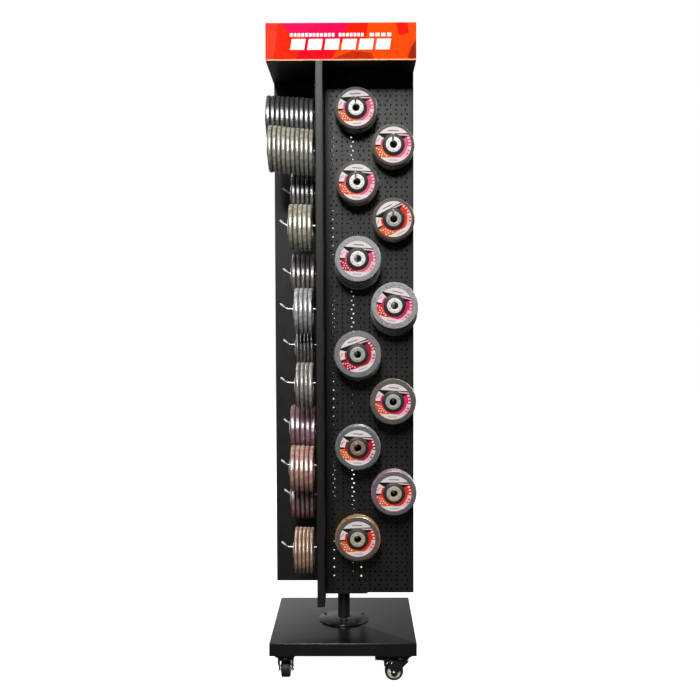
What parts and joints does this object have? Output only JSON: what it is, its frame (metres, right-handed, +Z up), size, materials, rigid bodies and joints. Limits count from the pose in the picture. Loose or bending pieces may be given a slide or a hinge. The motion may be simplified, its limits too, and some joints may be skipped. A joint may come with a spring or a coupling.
{
  "type": "rotating display stand",
  "caption": "Four-sided display tower of perforated sheet metal with wire hooks and a sign box, turning on a pole over a square base with swivel casters.",
  "frame": {"origin": "on the floor, under the pole's axis, at the centre of the base's footprint", "axes": "+Z up along the pole, front sign and front hook face towards -Y"},
  "size_m": [0.396, 0.396, 1.754],
  "materials": {
    "powder_coat": "black powder coat, fine texture",
    "zinc_wire": "bright zinc plate",
    "bearing_steel": "bright",
    "sign_print": "printed, satin",
    "nylon": "natural",
    "wheel_rubber": "moulded"
  },
  "bodies": {
    "base": {"base_tray": "powder_coat", "base_rail_left": "powder_coat", "base_rail_right": "powder_coat", "pole_flange": "powder_coat", "pole": "powder_coat", "thrust_bearing": "bearing_steel", "caster_plate_front_left": "powder_coat", "caster_plate_front_right": "powder_coat", "caster_plate_rear_left": "powder_coat", "caster_plate_rear_right": "powder_coat"},
    "tower": {"panel_front": "powder_coat", "panel_right": "powder_coat", "panel_rear": "powder_coat", "panel_left": "powder_coat", "sign_front": "sign_print", "sign_right": "sign_print", "sign_rear": "sign_print", "sign_left": "sign_print", "core_bottom_plate": "powder_coat", "lower_bush": "nylon", "header_tray": "powder_coat", "header_box": "powder_coat", "hook_front_1": "zinc_wire", "hook_front_2": "zinc_wire", "hook_front_3": "zinc_wire", "hook_front_4": "zinc_wire", "hook_front_5": "zinc_wire", "hook_front_6": "zinc_wire", "hook_front_7": "zinc_wire", "hook_front_8": "zinc_wire", "hook_front_9": "zinc_wire", "hook_front_10": "zinc_wire", "hook_front_11": "zinc_wire", "hook_left_1": "zinc_wire", "hook_left_2": "zinc_wire", "hook_left_3": "zinc_wire", "hook_left_4": "zinc_wire", "hook_left_5": "zinc_wire", "hook_left_6": "zinc_wire", "hook_left_7": "zinc_wire", "hook_left_8": "zinc_wire", "hook_left_9": "zinc_wire", "hook_left_10": "zinc_wire", "hook_left_11": "zinc_wire", "hook_left_12": "zinc_wire"},
    "fork_front_left": {"fork_front_left": "powder_coat", "axle_front_left": "bearing_steel"},
    "wheel_front_left": {"wheel_front_left": "wheel_rubber"},
    "brake_front_left": {"brake_pedal_front_left": "powder_coat"},
    "fork_front_right": {"fork_front_right": "powder_coat", "axle_front_right": "bearing_steel"},
    "wheel_front_right": {"wheel_front_right": "wheel_rubber"},
    "brake_front_right": {"brake_pedal_front_right": "powder_coat"},
    "fork_rear_left": {"fork_rear_left": "powder_coat", "axle_rear_left": "bearing_steel"},
    "wheel_rear_left": {"wheel_rear_left": "wheel_rubber"},
    "fork_rear_right": {"fork_rear_right": "powder_coat", "axle_rear_right": "bearing_steel"},
    "wheel_rear_right": {"wheel_rear_right": "wheel_rubber"}
  },
  "joints": [
    {"name": "tower_turn", "type": "hinge", "parent": "base", "child": "tower", "pos_m": [0, 0, 1.648], "axis": [0, 0, 1], "continuous": true},
    {"name": "swivel_front_left", "type": "hinge", "parent": "base", "child": "fork_front_left", "pos_m": [-0.157, -0.16, 0.062], "axis": [0, 0, 1], "continuous": true},
    {"name": "roll_front_left", "type": "hinge", "parent": "fork_front_left", "child": "wheel_front_left", "pos_m": [-0.157, -0.141, 0.025], "axis": [-1, 0, 0], "continuous": true},
    {"name": "brake_front_left", "type": "hinge", "parent": "fork_front_left", "child": "brake_front_left", "pos_m": [-0.157, -0.122, 0.0505], "axis": [-1, 0, 0], "range_deg": [0, 12]},
    {"name": "swivel_front_right", "type": "hinge", "parent": "base", "child": "fork_front_right", "pos_m": [0.157, -0.16, 0.062], "axis": [0, 0, 1], "continuous": true},
    {"name": "roll_front_right", "type": "hinge", "parent": "fork_front_right", "child": "wheel_front_right", "pos_m": [0.138, -0.16, 0.025], "axis": [0, -1, 0], "continuous": true},
    {"name": "brake_front_right", "type": "hinge", "parent": "fork_front_right", "child": "brake_front_right", "pos_m": [0.119, -0.16, 0.0505], "axis": [0, -1, 0], "range_deg": [0, 12]},
    {"name": "swivel_rear_left", "type": "hinge", "parent": "base", "child": "fork_rear_left", "pos_m": [-0.157, 0.16, 0.062], "axis": [0, 0, 1], "continuous": true},
    {"name": "roll_rear_left", "type": "hinge", "parent": "fork_rear_left", "child": "wheel_rear_left", "pos_m": [-0.138, 0.16, 0.025], "axis": [0, 1, 0], "continuous": true},
    {"name": "swivel_rear_right", "type": "hinge", "parent": "base", "child": "fork_rear_right", "pos_m": [0.157, 0.16, 0.062], "axis": [0, 0, 1], "continuous": true},
    {"name": "roll_rear_right", "type": "hinge", "parent": "fork_rear_right", "child": "wheel_rear_right", "pos_m": [0.138, 0.16, 0.025], "axis": [0, -1, 0], "continuous": true}
  ]
}
